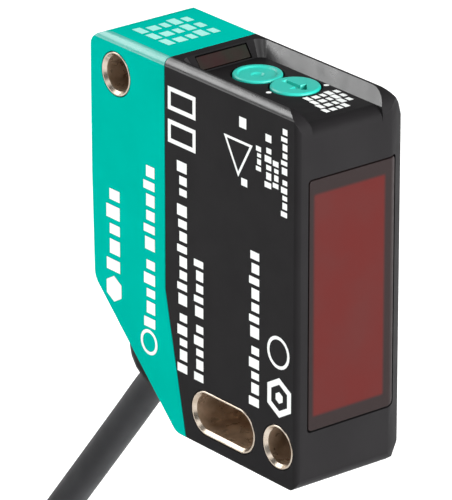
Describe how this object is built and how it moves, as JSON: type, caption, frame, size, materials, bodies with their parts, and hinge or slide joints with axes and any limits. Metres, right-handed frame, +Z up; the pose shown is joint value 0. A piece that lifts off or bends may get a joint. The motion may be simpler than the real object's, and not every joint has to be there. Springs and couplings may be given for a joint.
{
  "type": "photoelectric sensor",
  "caption": "Box-shaped photoelectric sensor with a red front window, round teach and mode controls in a top trough, side mounting bushes and a fixed cable with a round plug.",
  "frame": {"origin": "on the flat +X side face that lies on the mounting bracket, half way up and 21.75 mm behind the front face", "axes": "+X out of the mounting side face, -Y the way the light beam leaves, +Z up past the controls"},
  "size_m": [0.063, 0.1104, 0.0913],
  "materials": {
    "black_plastic": "fine-textured black housing plastic",
    "green_plastic": "satin sea-green housing plastic",
    "control_green": "satin sea-green control plastic",
    "rubber": "soft black seal",
    "bush_metal": "nickel-plated brass bush",
    "red_window": "dark red optical filter plastic",
    "red_filter": "red polarising filter sheet",
    "smoked_window": "smoked clear plastic",
    "clear_lens": "clear moulded lens plastic",
    "circuit_board": "green solder mask",
    "chip_plastic": "moulded component plastic",
    "cream_plastic": "cream component plastic",
    "steel": "plain crimped steel",
    "cable_jacket": "matt black cable jacket",
    "brown_insulation": "brown wire insulation",
    "white_insulation": "white wire insulation",
    "blue_insulation": "blue wire insulation",
    "black_insulation": "black wire insulation",
    "nickel": "nickel-plated zinc",
    "gold": "gold-plated contact"
  },
  "bodies": {
    "sensor": {"front_housing": "black_plastic", "rear_cover": "green_plastic", "housing_seal": "rubber", "upper_bush": "bush_metal", "lower_bush": "bush_metal", "slot_bush": "bush_metal", "front_window": "red_window", "polariser_plate": "red_filter", "optics_carrier": "black_plastic", "emitter_lens": "clear_lens", "receiver_lens": "clear_lens", "optics_board": "circuit_board", "emitter_diode": "cream_plastic", "receiver_chip": "chip_plastic", "main_board": "circuit_board", "controller_chip": "chip_plastic", "driver_chip": "chip_plastic", "power_inductor": "chip_plastic", "control_board": "circuit_board", "teach_switch": "chip_plastic", "mode_switch": "chip_plastic", "button_seal": "rubber", "knob_seal": "rubber", "indicator_window": "smoked_window", "power_light_guide": "clear_lens", "signal_light_guide": "clear_lens", "power_lamp": "cream_plastic", "signal_lamp": "cream_plastic", "cable_gland": "black_plastic", "cable_ferrule": "steel", "cable_lead": "cable_jacket", "cable_coil": "cable_jacket", "cable_tail": "cable_jacket", "conductor_1": "brown_insulation", "conductor_2": "white_insulation", "conductor_3": "blue_insulation", "conductor_4": "black_insulation", "plug_body": "black_plastic", "plug_insert": "chip_plastic", "plug_pin_1": "gold", "plug_pin_2": "gold", "plug_pin_3": "gold", "plug_pin_4": "gold"},
    "teach_control": {"teach_button": "control_green", "teach_plunger": "cream_plastic"},
    "mode_control": {"mode_knob": "control_green", "mode_rotor": "cream_plastic"},
    "plug_nut": {"coupling_nut": "nickel"}
  },
  "joints": [
    {"name": "teach_press", "type": "slide", "parent": "sensor", "child": "teach_control", "axis": [0, 0, -1], "range_m": [0, 0.0007], "stiffness_N_per_m": 2500, "springref_m": -0.0003},
    {"name": "mode_turn", "type": "hinge", "parent": "sensor", "child": "mode_control", "pos_m": [-0.00814, -0.0093, 0.0236], "axis": [0, 0, 1], "range_deg": [-120, 120]},
    {"name": "nut_turn", "type": "hinge", "parent": "sensor", "child": "plug_nut", "pos_m": [-0.05565, 0.006, -0.0587], "axis": [0, -1, 0], "continuous": true}
  ]
}
